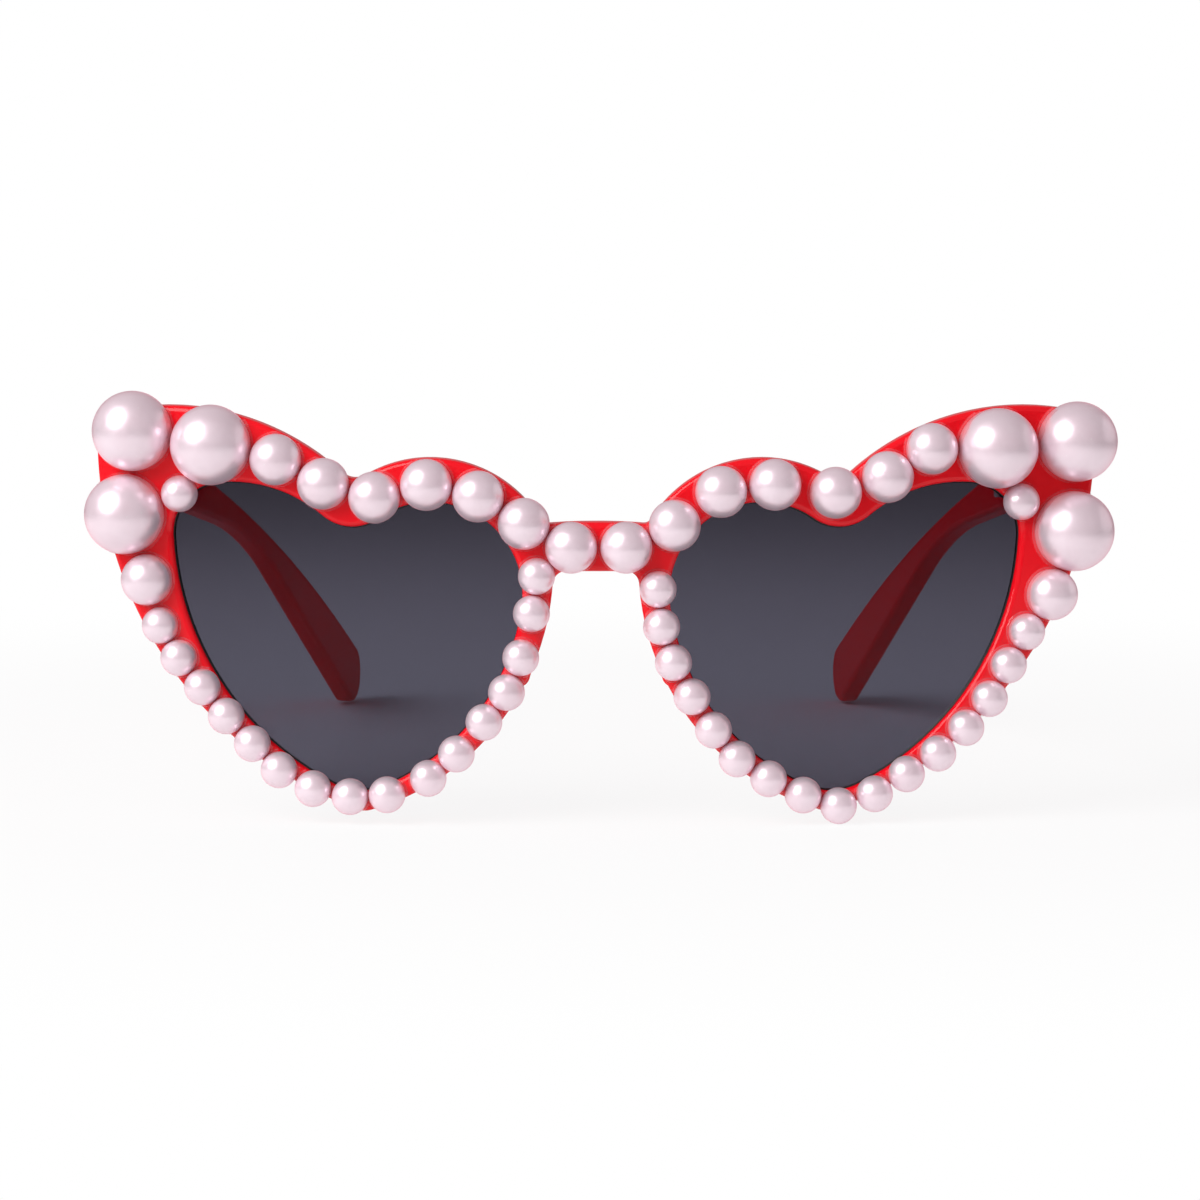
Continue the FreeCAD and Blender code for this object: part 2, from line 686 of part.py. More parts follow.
def temple():
    """Add the left temple: its side view, kept within its plan, with softened edges."""
    side = new_body("temple_side")
    names = ("front", "tip", "waist", "heel")
    stretches = sheet_chain("temple", names, ("crown", "line", "line", "line"), across="y")
    sketch = new_sketch(side, "temple_profile", "YZ_Plane")
    places = {"tip": "yz", "waist": "yz"}
    drawn = draw_chain(sketch, "YZ_Plane", "temple", stretches, places)
    for before, after in zip(drawn[:-2], drawn[1:-1]):
        join_ends(sketch, before, after)
    join_ends(sketch, drawn[-2], drawn[-1], "Coincident")
    join_ends(sketch, drawn[-1], drawn[0], "Coincident")
    butt = drawn[-1]
    tie_point(sketch, "YZ_Plane", butt.index, butt.first, ("temple_heel_y", "temple_heel_z"))
    tie_point(sketch, "YZ_Plane", butt.index, butt.last, ("temple_front_y", "temple_front_z"))
    pad(side, sketch, "Sizes.front_half_width")
    plan = new_body("temple_plan")
    corners = (
        ("hinge_face_x", "temple_heel_y"),
        ("temple_outer_x", "temple_heel_y"),
        ("temple_back_outer_x", "temple_back_y"),
        ("temple_back_inner_x", "temple_back_y"),
    )
    strip = polygon_sketch(plan, "temple_strip", "XY_Plane", corners)
    pad(plan, strip, "Sizes.front_height")
    blank = boolean("Common", "temple_blank", side, plan)
    edge_radius = size("temple_edge_radius")
    butt_y = size("butt_y") + size("butt_gap")
    return fillet("left_temple", blank, lambda edge: edge_radius if edge.BoundBox.YMax > butt_y else None)


def knuckles(label, radius, slots, grow):
    """Add the cylinders at some places of the hinge barrel, longer by a gap at both ends."""
    items = []
    for slot in slots:
        base = f"Sizes.barrel_bottom_z + {slot} * Sizes.barrel_pitch - {grow}"
        height = f"Sizes.knuckle_height + 2 * {grow}"
        place = ("Sizes.hinge_axis_x", "Sizes.hinge_axis_y", base)
        items.append(upright_cylinder(f"{label}_{slot}", radius, height, *place))
    return items


def leaf(carrier, turn, corner_y):
    """Add the hinge leaf of the front or temple: a plate on the inner face, knuckles and a screw bore.

    The plate starts at the joint between temple and endpiece and runs along the direction turned by
    the given angle, and it is cut clear of the other leaf's knuckles.
    """
    label = f"left_{carrier}_leaf"
    plate = doc.addObject("Part::Box", label + "_plate")
    plate.setExpression("Length", "Sizes.leaf_thickness")
    plate.setExpression("Width", "Sizes.leaf_length")
    plate.setExpression("Height", "Sizes.barrel_height")
    corner = Vector(size("hinge_face_x"), size(corner_y), size("barrel_bottom_z"))
    spin = Rotation(Vector(0, 0, 1), turn)
    away = -1 if corner_y == "endpiece_end_y" else 0
    offset = Vector(-size("leaf_thickness"), away * size("leaf_length"), 0)
    plate.Placement = Placement(corner + spin.multVec(offset), spin)
    corner_radius = size("leaf_corner_radius")

    def far_corner(edge):
        """Return the radius for an edge through the plate at its far end."""
        through = math.isclose(edge.Length, size("leaf_thickness"))
        far = (edge.CenterOfMass - corner).Length > size("leaf_length")
        return corner_radius if through and far else None

    rounded = fillet(label + "_rounded", plate, far_corner)
    slots = [slot for slot, owner in enumerate(BARREL_LEAVES) if owner == carrier]
    others = [slot for slot, owner in enumerate(BARREL_LEAVES) if owner != carrier]
    own = knuckles(label + "_knuckle", "Sizes.knuckle_diameter / 2", slots, "0")
    solid = fuse(label + "_solid", [rounded] + own)
    room = "Sizes.knuckle_diameter / 2 + Sizes.knuckle_clearance"
    clearances = knuckles(label + "_clearance", room, others, "Sizes.knuckle_gap")
    clearances.append(
        upright_cylinder(label + "_bore", "Sizes.screw_diameter / 2 + Sizes.screw_clearance",
                         "Sizes.barrel_height + 2 * Sizes.overrun", "Sizes.hinge_axis_x",
                         "Sizes.hinge_axis_y", "Sizes.barrel_bottom_z - Sizes.overrun"))
    return boolean("Cut", label, solid, fuse(label + "_clearances", clearances))


def hinge_screw():
    """Add the left hinge's slotted screw, whose head sits on the upper knuckle."""
    place = ("Sizes.hinge_axis_x", "Sizes.hinge_axis_y")
    shank = upright_cylinder("screw_shank", "Sizes.screw_diameter / 2", "Sizes.barrel_height",
                             *place, "Sizes.barrel_bottom_z")
    top = "Sizes.barrel_bottom_z + Sizes.barrel_height"
    head = upright_cylinder("screw_head", "Sizes.screw_head_diameter / 2", "Sizes.screw_head_height",
                            *place, top)
    slot = doc.addObject("Part::Box", "screw_slot")
    slot.setExpression("Length", "Sizes.screw_head_diameter + 2 * Sizes.overrun")
    slot.setExpression("Width", "Sizes.screw_slot_width")
    slot.setExpression("Height", "Sizes.screw_slot_depth + Sizes.overrun")
    slot.setExpression("Placement.Base.x", place[0] + " - Sizes.screw_head_diameter / 2 - Sizes.overrun")
    slot.setExpression("Placement.Base.y", place[1] + " - Sizes.screw_slot_width / 2")
    slot.setExpression("Placement.Base.z", top + " + Sizes.screw_head_height - Sizes.screw_slot_depth")
    return boolean("Cut", "left_hinge_screw", fuse("screw_blank", [shank, head]), slot)


# Pearls


def heart_ring(across):
    """Return the heart line at a share of the way from the lens opening to the rim's edge."""
    def blend(cell):
        inner = size("opening_" + cell)
        return inner + across * (size("outer_" + cell) - inner)

    rounds = []
    for name in HEART_ROUNDS:
        centre = Vector(blend(name + "_x"), blend(name + "_z"), 0)
        rounds.append(Round(name, centre, bend(name, blend(name + "_radius"))))
    lobe, cleft = rounds[:2]
    reach = lobe.radius - cleft.radius
    aside = cleft.centre.x - lobe.centre.x
    seated = Vector(cleft.centre.x, lobe.centre.y + math.sqrt(reach ** 2 - aside ** 2), 0)
    rounds[1] = cleft._replace(centre=seated)
    links = [(name, bend(name, blend(name + "_radius"))) for name in HEART_LINKS[1:]]
    return chain(rounds, [("touch", None)] + links)


def ring_point(ring, place):
    """Return the point of a ring at a place: its stretch's number plus the share run along it."""
    stretch = ring[math.floor(place) % len(ring)]
    begin, finish = arc_angles(stretch)
    angle = begin + (place % 1) * (finish - begin)
    return stretch.centre + Vector(math.cos(angle), math.sin(angle), 0) * abs(stretch.radius)


def spacing(first, second):
    """Return the distance between two places on the front's face, measured around its wrap."""
    wrap = size("front_radius")
    around = wrap * (math.asin(second.x / wrap) - math.asin(first.x / wrap))
    return math.hypot(around, second.z - first.z)


def pearl_at(kind, point):
    """Return a pearl of a kind at a point of the front view."""
    return Pearl(kind, point.x, point.y, size(kind + "_pearl_diameter") / 2)


def blocked(pearl, others, gap=PEARL_TOUCH_SHARE):
    """Tell whether a pearl comes nearer to one of the others than a gap share allows."""
    return any(spacing(pearl, other) < (pearl.radius + other.radius) * (1 + gap) for other in others)


def walk(place, way, pearl_there, others, gap):
    """Walk from a place to the first one where a pearl clears the others, and return both."""
    while blocked(pearl_there(place), others, gap):
        place += way * WALK_STEP_SHARE
    low, high = place - way * WALK_STEP_SHARE, place
    while abs(high - low) > WALK_END_SHARE:
        middle = (low + high) / 2
        if blocked(pearl_there(middle), others, gap):
            low = middle
        else:
            high = middle
    return high, pearl_there(high)


def next_place(previous, place, way, kind, across, gap):
    """Walk along a ring from a pearl to the place where the next one clears it by a gap share."""
    ring = heart_ring(across)
    return walk(place, way, lambda spot: pearl_at(kind, ring_point(ring, spot)), [previous], gap)


def accent_pearl(corner, large, target):
    """Return the small pearl that nestles among the large ones, on the way from the corner to the lens."""
    start = Vector(corner.x, corner.z, 0)
    way = target - start
    pearl = walk(0, 1, lambda share: pearl_at("small", start + way * share), large, ACCENT_GAP_SHARE)
    return pearl[1]


def bridge_pearl(lean):
    """Return the pearl on one half of the bridge, shifted towards or away from the middle."""
    across = size("medium_pearl_diameter") / 2 * (1 + BRIDGE_GAP_SHARE) + lean * size("bridge_pearl_shift")
    return pearl_at("medium", Vector(across, (size("bridge_bottom_z") + size("bridge_top_z")) / 2, 0))


def side_pearls(side, lean):
    """Return the pearls of one side by their groups, as if that side were the left one."""
    shares = PEARL_SHARES[side]
    ring = heart_ring(shares["corner_across_share"])
    names = [stretch.name for stretch in ring]
    anchor = names.index("corner") + shares["corner_place_share"]
    corner = pearl_at("large", ring_point(ring, anchor))
    large = [corner]
    medium = [bridge_pearl(lean)]
    small = []
    place, pearl = anchor, corner
    for i in count():
        kind = "large" if i == 0 else "medium"
        across = shares["brow_across_shares"][i % len(shares["brow_across_shares"])]
        gap = shares["brow_gap_shares"][i % len(shares["brow_gap_shares"])]
        place, pearl = next_place(pearl, place, -1, kind, across, gap)
        if blocked(pearl, medium[:1]):
            break
        (large if i == 0 else medium).append(pearl)
    place, pearl = anchor, corner
    cheek_shares = zip(shares["cheek_across_shares"], shares["cheek_gap_shares"])
    for (kind, group), (across, gap) in zip((("large", large), ("medium", medium)), cheek_shares):
        place, pearl = next_place(pearl, place, 1, kind, across, gap)
        group.append(pearl)
    for i in count():
        across = shares["small_across_shares"][i % len(shares["small_across_shares"])]
        gap = shares["small_gap_shares"][i % len(shares["small_gap_shares"])]
        place, pearl = next_place(pearl, place, 1, "small", across, gap)
        if blocked(pearl, medium[:-1]):
            break
        small.append(pearl)
    target = ring_point(heart_ring(0), names.index("corner") + shares["accent_place_share"])
    accent = accent_pearl(corner, large, target)
    return large, medium, small, accent


def seat_pearl(label, pearl, hand):
    """Add a flat backed pearl, its back against the front's face."""
    item = doc.addObject("Part::Sphere", label)
    item.setExpression("Radius", f"Sizes.{pearl.kind}_pearl_diameter / 2")
    item.setExpression("Angle1", "-Sizes.pearl_back_angle")
    wrap = size("front_radius")
    turn = math.asin(pearl.x / wrap)
    outward = Vector(hand * math.sin(turn), -math.cos(turn), 0)
    back = Vector(hand * pearl.x, wrap * (1 - math.cos(turn)), pearl.z)
    lift = pearl.radius * math.sin(math.radians(size("pearl_back_angle")))
    item.Placement = Placement(back + outward * lift, Rotation(Vector(0, 0, 1), outward))
    return item


def seat_row(label, row, hand):
    """Add a row of pearls, numbered from one."""
    return [seat_pearl(f"{label}_{i}", pearl, hand) for i, pearl in enumerate(row, start=1)]


def pearls(side, hand):
    """Add the pearls of one side: the large and medium ones singly and the run of small ones as a group."""
    large, medium, small, accent = side_pearls(side, hand)
    items = seat_row(side + "_large_pearl", large, hand)
    items += seat_row(side + "_medium_pearl", medium, hand)
    items.append(seat_pearl(side + "_accent_pearl", accent, hand))
    run = doc.addObject("Part::Compound", side + "_small_pearls")
    run.Links = seat_row(side + "_small_pearl", small, hand)
    items.append(run)
    print(side, "pearls", len(large), len(medium), len(small) + 1)
    return items


# Assembly


def both_sides(name, source):
    """Label a left piece and add its mirrored right piece."""
    source.Label = "left_" + name
    return [source, mirror("right_" + name, source)]


def build_nodes():
    """Add every piece and return the pieces in order."""
    nodes = [front_frame()]
    lens = heart_plate("left_lens", "lens", "Sizes.lens_radius", "Sizes.lens_thickness")
    nodes += both_sides("lens", lens)
    nodes += both_sides("temple", temple())
    nodes += both_sides("front_hinge_leaf", leaf("front", 0, "endpiece_end_y"))
    nodes += both_sides("temple_hinge_leaf", leaf("temple", size("temple_toe_angle"), "butt_y"))
    nodes += both_sides("hinge_screw", hinge_screw())
    nodes += pearls("left", 1)
    nodes += pearls("right", -1)
    doc.recompute()
    return nodes


def centre_on_table(nodes):
    """Move the pieces so that the glasses stand on the table, with the origin in their middle plane.

    A mirrored piece follows its source, so it gets no move of its own.
    """
    box = FreeCAD.BoundBox()
    for node in nodes:
        box.add(node.Shape.BoundBox)
    shift = Vector(0, -box.Center.y, -box.ZMin)
    for node in nodes:
        if not node.isDerivedFrom("Part::Mirroring"):
            node.Placement = Placement(shift, Rotation()).multiply(node.Placement)
    doc.recompute()
    return shift


def check(nodes):
    """Stop on any failed feature and on any piece without a sound solid."""
    for item in doc.Objects:
        if "Invalid" in item.State or "Error" in item.State:
            raise RuntimeError(f"{item.Name} failed: {item.State}")
    for node in nodes:
        if node.Shape.isNull() or not node.Shape.isValid() or not node.Shape.Solids:
            raise RuntimeError(f"{node.Label} has no sound solid")


def export(nodes):
    """Write each piece to its own file."""
    os.makedirs("parts", exist_ok=True)
    for node in nodes:
        node.Shape.exportStep(os.path.join("parts", node.Label + ".step"))


nodes = build_nodes()
shift = centre_on_table(nodes)
check(nodes)
export(nodes)
axis = Vector(size("hinge_axis_x"), size("hinge_axis_y"), size("hinge_z"))
print("left hinge axis", axis + shift, "shift", shift, "pieces", len(nodes))
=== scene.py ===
import json
import logging
import math
from dataclasses import dataclass
from enum import Enum
from typing import Iterable, Iterator

import bmesh
import bpy
from mathutils import Matrix, Vector, noise
from mathutils.bvhtree import BVHTree

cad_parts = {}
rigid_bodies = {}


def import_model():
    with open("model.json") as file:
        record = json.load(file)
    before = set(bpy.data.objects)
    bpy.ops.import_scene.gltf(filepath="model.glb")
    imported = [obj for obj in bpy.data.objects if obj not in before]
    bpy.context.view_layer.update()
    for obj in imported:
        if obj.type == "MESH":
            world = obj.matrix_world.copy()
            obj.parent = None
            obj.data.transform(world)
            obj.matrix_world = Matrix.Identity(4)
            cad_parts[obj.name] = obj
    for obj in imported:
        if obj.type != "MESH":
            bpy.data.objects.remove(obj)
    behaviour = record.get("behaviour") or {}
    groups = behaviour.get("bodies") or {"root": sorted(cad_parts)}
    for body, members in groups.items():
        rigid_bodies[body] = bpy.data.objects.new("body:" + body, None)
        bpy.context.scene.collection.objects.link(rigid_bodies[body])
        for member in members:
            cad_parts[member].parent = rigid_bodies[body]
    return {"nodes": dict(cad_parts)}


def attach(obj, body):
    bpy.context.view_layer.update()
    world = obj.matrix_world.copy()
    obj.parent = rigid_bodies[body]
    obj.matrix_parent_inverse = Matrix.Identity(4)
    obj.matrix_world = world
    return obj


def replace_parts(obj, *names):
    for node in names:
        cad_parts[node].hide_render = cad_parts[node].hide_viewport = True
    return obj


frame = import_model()

# Heart shaped sunglasses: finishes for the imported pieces, pearls and glue in full, and a white studio.
# Lengths are in metres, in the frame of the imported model: the front faces -Y and the glasses stand on Z = 0.

log = logging.getLogger("heart_sunglasses")

Colour = tuple[float, float, float]
Point = tuple[float, float, float]
Socket = bpy.types.NodeSocket
Mesh = bmesh.types.BMesh

WHITE: Colour = (1.0, 1.0, 1.0)
WELD_DISTANCE = 1e-6
CUT_DISTANCE = 1e-7


class Slot(Enum):
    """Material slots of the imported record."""

    LENS = "lens"
    PEARL = "pearl"


class Body(Enum):
    """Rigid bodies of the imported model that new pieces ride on."""

    FRONT = "front"


class Side(Enum):
    """Sides of the glasses as the wearer sees them."""

    LEFT = "left"
    RIGHT = "right"


def opaque(colour: Colour) -> tuple[float, float, float, float]:
    """Return a colour with full alpha, as sockets want it."""
    return (*colour, 1.0)


@dataclass(frozen=True)
class Grain:
    """Noise pattern, by its cells per metre and its octaves of finer noise."""

    scale: float
    detail: float


@dataclass(frozen=True)
class Relief:
    """Bump in a surface, by its height in metres and the share of it that shows."""

    height: float
    strength: float


@dataclass(frozen=True)
class Fade:
    """Soft step between two distances from the glasses."""

    near: float
    far: float


class Board:
    """Node tree of one material, with short ways to add and link nodes."""

    def __init__(self, name: str) -> None:
        """Start an empty tree with an output node."""
        self.material = bpy.data.materials.new(name)
        self.material.use_nodes = True
        self.tree = self.material.node_tree
        self.tree.nodes.clear()
        self.output = self.add("ShaderNodeOutputMaterial")

    def add(self, kind: str, settings: dict | None = None, sockets: dict | None = None) -> bpy.types.Node:
        """Add a node.

        Args:
            kind: Blender's name for the node type.
            settings: Properties of the node itself.
            sockets: Values of its input sockets by name.

        Returns:
            The new node.
        """
        node = self.tree.nodes.new(kind)
        for name, value in (settings or {}).items():
            setattr(node, name, value)
        for name, value in (sockets or {}).items():
            node.inputs[name].default_value = value
        return node

    def link(self, source: Socket, target: Socket) -> None:
        """Join an output socket to an input socket."""
        self.tree.links.new(source, target)

    def surface(self, shader: bpy.types.Node) -> None:
        """Send a shader to the material's surface."""
        self.link(shader.outputs[0], self.output.inputs["Surface"])

    def place(self) -> Socket:
        """Return the object coordinates, in metres."""
        return self.add("ShaderNodeTexCoord").outputs["Object"]

    def noise(self, place: Socket, grain: Grain) -> Socket:
        """Add a noise pattern that follows a place and return its grey value."""
        node = self.add("ShaderNodeTexNoise", sockets={"Scale": grain.scale, "Detail": grain.detail})
        self.link(place, node.inputs["Vector"])
        return node.outputs["Fac"]

    def span(self, value: Socket, low: float, high: float, start: float = 0.3, end: float = 0.7) -> Socket:
        """Map a grey value to a range.

        Args:
            value: Grey value to read.
            low: Result at the start.
            high: Result at the end.
            start: Grey value at which the range starts, by default where most noise does.
            end: Grey value at which the range ends, by default where most noise does.

        Returns:
            The mapped value.
        """
        node = self.add("ShaderNodeMapRange", sockets={
            "From Min": start, "From Max": end, "To Min": low, "To Max": high})
        self.link(value, node.inputs["Value"])
        return node.outputs["Result"]

    def fade(self, reach: Socket, fade: Fade, low: float = 0.0) -> Socket:
        """Return a value that rises softly from low to 1 over a fade."""
        node = self.add("ShaderNodeMapRange", settings={"interpolation_type": "SMOOTHSTEP"}, sockets={
            "From Min": fade.near, "From Max": fade.far, "To Min": low, "To Max": 1.0})
        self.link(reach, node.inputs["Value"])
        return node.outputs["Result"]

    def combine(self, operation: str, first: Socket, second: Socket) -> Socket:
        """Return what a math operation gives for two values."""
        node = self.add("ShaderNodeMath", settings={"operation": operation})
        self.link(first, node.inputs[0])
        self.link(second, node.inputs[1])
        return node.outputs[0]

    def mix(self, share: Socket, first: bpy.types.Node, second: bpy.types.Node) -> bpy.types.Node:
        """Mix two shaders by a grey value and return the mixing node."""
        node = self.add("ShaderNodeMixShader")
        self.link(share, node.inputs["Fac"])
        self.link(first.outputs[0], node.inputs[1])
        self.link(second.outputs[0], node.inputs[2])
        return node

    def blend(self, share: Socket, first: Colour, second: Colour) -> Socket:
        """Blend two colours by a grey value and return the result."""
        node = self.add("ShaderNodeMix", settings={"data_type": "RGBA"})
        first_socket, second_socket = (item for item in node.inputs if item.type == "RGBA")
        first_socket.default_value, second_socket.default_value = opaque(first), opaque(second)
        self.link(share, node.inputs["Factor"])
        return next(item for item in node.outputs if item.type == "RGBA")

    def lay(self, share: Socket, under: Socket, colour: Colour) -> Socket:
        """Lay a colour over another by a grey value and return the result."""
        mixed = self.blend(share, colour, colour)
        self.link(under, next(item for item in mixed.node.inputs if item.type == "RGBA"))
        return mixed

    def bump(self, value: Socket, relief: Relief, under: Socket | None = None) -> Socket:
        """Turn a grey value into relief.

        Args:
            value: Grey value of the relief.
            relief: Height and strength of it.
            under: Normal of a coarser relief to build on.

        Returns:
            The bent normal.
        """
        node = self.add("ShaderNodeBump", sockets={"Distance": relief.height, "Strength": relief.strength})
        self.link(value, node.inputs["Height"])
        if under is not None:
            self.link(under, node.inputs["Normal"])
        return node.outputs["Normal"]


@dataclass(frozen=True)
class MouldedRed:
    """Polished red plastic as it comes out of the mould, its gloss all in the coat."""

    name: str
    colour: Colour
    shade: Colour
    roughness_low: float
    roughness_high: float
    coat: float
    coat_roughness: float = 0.03
    flow: Grain = Grain(38.0, 3.0)
    haze: Grain = Grain(420.0, 4.0)
    wave: Grain = Grain(160.0, 1.0)
    wave_relief: Relief = Relief(0.00006, 0.25)
    peel: Grain = Grain(2600.0, 2.0)
    peel_relief: Relief = Relief(0.000004, 0.25)

    def make(self) -> bpy.types.Material:
        """Return the material, with flow marks, faint handling haze and a slight waviness."""
        board = Board(self.name)
        place = board.place()
        shader = board.add("ShaderNodeBsdfPrincipled", sockets={
            "Coat Weight": self.coat, "Coat Roughness": self.coat_roughness, "Specular IOR Level": 0.0})
        flow = board.span(board.noise(place, self.flow), 0.0, 1.0)
        board.link(board.blend(flow, self.colour, self.shade), shader.inputs["Base Color"])
        haze = board.span(board.noise(place, self.haze), self.roughness_low, self.roughness_high)
        board.link(haze, shader.inputs["Roughness"])
        wave = board.bump(board.noise(place, self.wave), self.wave_relief)
        peel = board.bump(board.noise(place, self.peel), self.peel_relief, wave)
        board.link(peel, shader.inputs["Normal"])
        board.surface(shader)
        return board.material


@dataclass(frozen=True)
class PearlLacquer:
    """Pinkish white pearl lacquer over a plastic bead, under a thin clear coat."""

    name: str
    colour: Colour
    blush: Colour
    speck: Colour
    sheen: Colour
    edge: Colour
    metal: float = 0.50
    roughness: float = 0.33
    roughness_spread: float = 0.025
    coat: float = 0.15
    coat_roughness: float = 0.10
    sheen_weight: float = 1.0
    sheen_roughness: float = 0.28
    cloud: Grain = Grain(210.0, 3.0)
    mica: Grain = Grain(900.0, 2.0)
    speck_scale: float = 620.0
    speck_cover: float = 0.6
    speck_core: float = 0.04
    speck_reach: float = 0.09

    def make(self) -> bpy.types.Material:
        """Return the material, with cloudy blush, fine mica grain and specks under the coat."""
        board = Board(self.name)
        place = board.place()
        shader = board.add("ShaderNodeBsdfPrincipled", sockets={
            "Metallic": self.metal, "Specular Tint": opaque(self.edge),
            "Coat Weight": self.coat, "Coat Roughness": self.coat_roughness,
            "Sheen Weight": self.sheen_weight, "Sheen Roughness": self.sheen_roughness,
            "Sheen Tint": opaque(self.sheen)})
        cloud = board.span(board.noise(place, self.cloud), 0.0, 1.0)
        cells = board.add("ShaderNodeTexVoronoi", sockets={"Scale": self.speck_scale})
        board.link(place, cells.inputs["Vector"])
        speck = board.span(cells.outputs["Distance"], self.speck_cover, 0.0,
                           self.speck_core, self.speck_reach)
        tint = board.lay(speck, board.blend(cloud, self.colour, self.blush), self.speck)
        board.link(tint, shader.inputs["Base Color"])
        mica = board.span(board.noise(place, self.mica), self.roughness - self.roughness_spread,
                          self.roughness + self.roughness_spread)
        board.link(mica, shader.inputs["Roughness"])
        board.surface(shader)
        return board.material


@dataclass(frozen=True)
class SmokeTint:
    """Smoke grey lens plastic, its tint shifting between two heights."""

    name: str
    low: Colour
    high: Colour
    low_z: float
    high_z: float
    ior: float = 1.15

    def make(self) -> bpy.types.Material:
        """Return the material, clear plastic that swallows most of the light."""
        board = Board(self.name)
        shader = board.add("ShaderNodeBsdfPrincipled", sockets={
            "Roughness": 0.0, "Transmission Weight": 1.0, "IOR": self.ior})
        axes = board.add("ShaderNodeSeparateXYZ")
        board.link(board.place(), axes.inputs["Vector"])
        height = board.span(axes.outputs["Z"], 0.0, 1.0, self.low_z, self.high_z)
        board.link(board.blend(height, self.low, self.high), shader.inputs["Base Color"])
        board.surface(shader)
        return board.material


@dataclass(frozen=True)
class DrawnSteel:
    """Plain hinge steel with fine lines from drawing."""

    name: str
    colour: Colour
    dull: Colour
    roughness_low: float
    roughness_high: float
    stretch: Point = (1.0, 1.0, 0.06)
    lines: Grain = Grain(7000.0, 3.0)
    line_relief: Relief = Relief(0.00001, 0.3)

    def make(self) -> bpy.types.Material:
        """Return the material, its lines running upright along the barrel."""
        board = Board(self.name)
        stretch = board.add("ShaderNodeMapping", sockets={"Scale": self.stretch})
        board.link(board.place(), stretch.inputs["Vector"])
        lines = board.noise(stretch.outputs["Vector"], self.lines)
        shader = board.add("ShaderNodeBsdfPrincipled", sockets={"Metallic": 1.0})
        tone = board.blend(board.span(lines, 0.0, 1.0), self.colour, self.dull)
        board.link(tone, shader.inputs["Base Color"])
        board.link(board.span(lines, self.roughness_low, self.roughness_high), shader.inputs["Roughness"])
        board.link(board.bump(lines, self.line_relief), shader.inputs["Normal"])
        board.surface(shader)
        return board.material


@dataclass(frozen=True)
class GroundEdgeAndShade:
    """Near-black, finely ground edge of a smoke grey lens, darkened further as painted shade of the rim's
    groove.
    """

    name: str
    colour: Colour
    pale: Colour
    shine: float = 0.3
    roughness_low: float = 0.28
    roughness_high: float = 0.45
    marks: Grain = Grain(4200.0, 3.0)

    def make(self) -> bpy.types.Material:
        """Return the material, nearly black as painted groove shade, with grey marks of the grinding."""
        board = Board(self.name)
        shader = board.add("ShaderNodeBsdfPrincipled", sockets={"Specular IOR Level": self.shine})
        marks = board.noise(board.place(), self.marks)
        tone = board.blend(board.span(marks, 0.0, 1.0), self.colour, self.pale)
        board.link(tone, shader.inputs["Base Color"])
        board.link(board.span(marks, self.roughness_low, self.roughness_high), shader.inputs["Roughness"])
        board.surface(shader)
        return board.material


@dataclass(frozen=True)
class ClearGlue:
    """Clear glue that has set around the pearls, its pink colours a painted glow of the red front."""

    name: str
    colour: Colour
    warm: Colour
    cover: float
    roughness: float = 0.04
    ior: float = 1.9
    uneven_painted_glow: Grain = Grain(900.0, 2.0)
    lumps: Grain = Grain(1500.0, 2.0)
    lump_relief: Relief = Relief(0.00005, 0.4)

    def make(self) -> bpy.types.Material:
        """Return the material, wet looking and uneven, with the red of the front showing through and also
        painted into its colour as glow.
        """
        board = Board(self.name)
        place = board.place()
        shader = board.add("ShaderNodeBsdfPrincipled", sockets={
            "Roughness": self.roughness, "IOR": self.ior, "Alpha": self.cover})
        uneven_painted_glow = board.span(board.noise(place, self.uneven_painted_glow), 0.0, 1.0)
        board.link(board.blend(uneven_painted_glow, self.colour, self.warm), shader.inputs["Base Color"])
        lumps = board.bump(board.noise(place, self.lumps), self.lump_relief)
        board.link(lumps, shader.inputs["Normal"])
        board.surface(shader)
        return board.material


@dataclass(frozen=True)
class WhiteSweep:
    """White paper with soft shadows near the glasses, running out to white for the camera and to painted shade
    for all else.
    """

    name: str
    lit: Colour
    near: Colour
    far: Colour
    veil: float
    whitening: Fade
    dimming: Fade

    def make(self) -> bpy.types.Material:
        """Return the paper, lifted to white for the camera and near mirror images, else diffuse with painted
        shade far off.
        """
        board = Board(self.name)
        length = board.add("ShaderNodeVectorMath", settings={"operation": "LENGTH"})
        board.link(board.place(), length.inputs[0])
        reach = length.outputs["Value"]
        lit = board.add("ShaderNodeBsdfDiffuse", sockets={"Color": opaque(self.lit)})
        white = board.add("ShaderNodeEmission", sockets={"Color": opaque(WHITE), "Strength": 1.0})
        lifted = board.mix(board.fade(reach, self.whitening, self.veil), lit, white)
        # Paper for light, far reflections and the view through the lenses: its far colour is painted shade,
        # darker with distance as light falls off.
        plain = board.add("ShaderNodeBsdfDiffuse")
        dimming = board.fade(reach, self.dimming)
        board.link(board.blend(dimming, self.near, self.far), plain.inputs["Color"])
        path = board.add("ShaderNodeLightPath").outputs
        mirrored = board.combine("SUBTRACT", path["Is Glossy Ray"], path["Is Transmission Ray"])
        mirrored_near = board.combine("SUBTRACT", mirrored, dimming)
        seen = board.combine("MAXIMUM", mirrored_near, path["Is Camera Ray"])
        board.surface(board.mix(seen, plain, lifted))
        return board.material


def paint(node: str, finish: bpy.types.Material) -> None:
    """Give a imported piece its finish."""
    mesh = frame["nodes"][node].data
    mesh.materials.clear()
    mesh.materials.append(finish)


